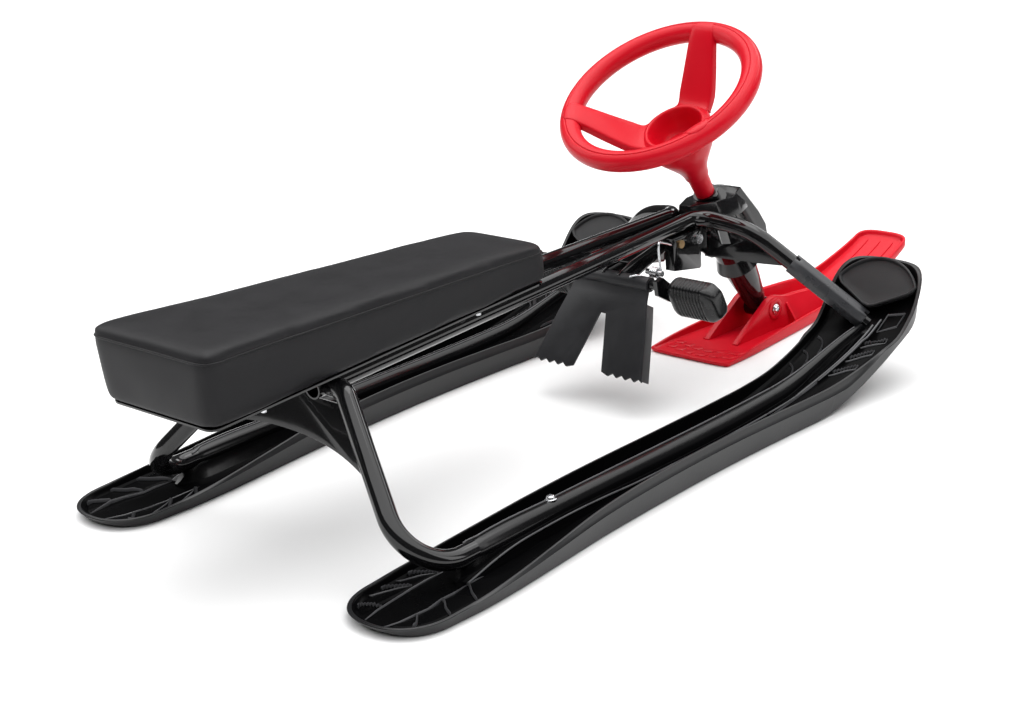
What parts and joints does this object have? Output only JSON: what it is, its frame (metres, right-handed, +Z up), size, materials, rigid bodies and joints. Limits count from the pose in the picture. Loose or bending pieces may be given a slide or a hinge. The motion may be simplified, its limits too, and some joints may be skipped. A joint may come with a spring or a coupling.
{
  "type": "snow racer sled",
  "caption": "Child's steerable snow racer: long black rear skis under a bent steel tube frame with a padded seat, a raked steering wheel that turns a short red front ski, and a foot brake.",
  "frame": {"origin": "on the ground, under the middle of the overall length and width", "axes": "+Y forward to the front ski's tip, +X to the rider's right, +Z up"},
  "size_m": [0.5, 1.1463, 0.374],
  "materials": {
    "black_plastic": "glossy moulded",
    "matte_black": "fine grained",
    "cover_plastic": "satin moulded",
    "black_paint": "gloss powder coat",
    "grey_paint": "satin powder coat",
    "vinyl": "grained vinyl cover over foam",
    "red_plastic": "glossy moulded",
    "claw_steel": "satin",
    "brass": "yellow zinc plated",
    "zinc": "zinc plated",
    "rubber": "ribbed"
  },
  "bodies": {
    "frame": {"ski_right": "black_plastic", "ski_left": "black_plastic", "foot_pad_right": "matte_black", "foot_pad_left": "matte_black", "upper_tube_right": "black_paint", "upper_tube_left": "black_paint", "front_leg_right": "black_paint", "front_leg_left": "black_paint", "rear_leg_right": "black_paint", "rear_leg_left": "black_paint", "front_sleeve_right": "grey_paint", "front_sleeve_left": "grey_paint", "seat_bracket": "black_paint", "seat_pan": "matte_black", "seat_cushion": "vinyl", "head_tube": "black_paint", "head_gusset": "black_paint", "head_cover": "cover_plastic", "brake_bracket": "black_paint", "bracket_bolt": "zinc", "brake_pin": "brass", "frame_bolt_right": "zinc", "frame_bolt_left": "zinc"},
    "steering": {"steering_column": "black_paint", "wheel_stem": "red_plastic", "wheel_hub": "red_plastic", "wheel_rim": "red_plastic", "wheel_spoke_1": "red_plastic", "wheel_spoke_2": "red_plastic", "wheel_spoke_3": "red_plastic"},
    "front_ski": {"front_ski": "red_plastic", "ski_bolt": "zinc"},
    "brake": {"brake_lever": "black_paint", "brake_claw": "claw_steel", "brake_rod": "black_paint", "pedal_arm_right": "black_paint", "pedal_arm_left": "black_paint", "pedal_pad_right": "rubber", "pedal_pad_left": "rubber"}
  },
  "joints": [
    {"name": "steer", "type": "hinge", "parent": "frame", "child": "steering", "pos_m": [0, 0.289, 0.027], "axis": [0, -0.5082, 0.8612], "range_deg": [-30, 30]},
    {"name": "ski_pitch", "type": "hinge", "parent": "steering", "child": "front_ski", "pos_m": [0, 0.289, 0.027], "axis": [1, 0, 0], "range_deg": [-8, 8]},
    {"name": "brake", "type": "hinge", "parent": "frame", "child": "brake", "pos_m": [0, 0.114, 0.15], "axis": [1, 0, 0], "range_deg": [0, 26], "stiffness_Nm_per_rad": 1.5, "springref_deg": -34.38}
  ]
}
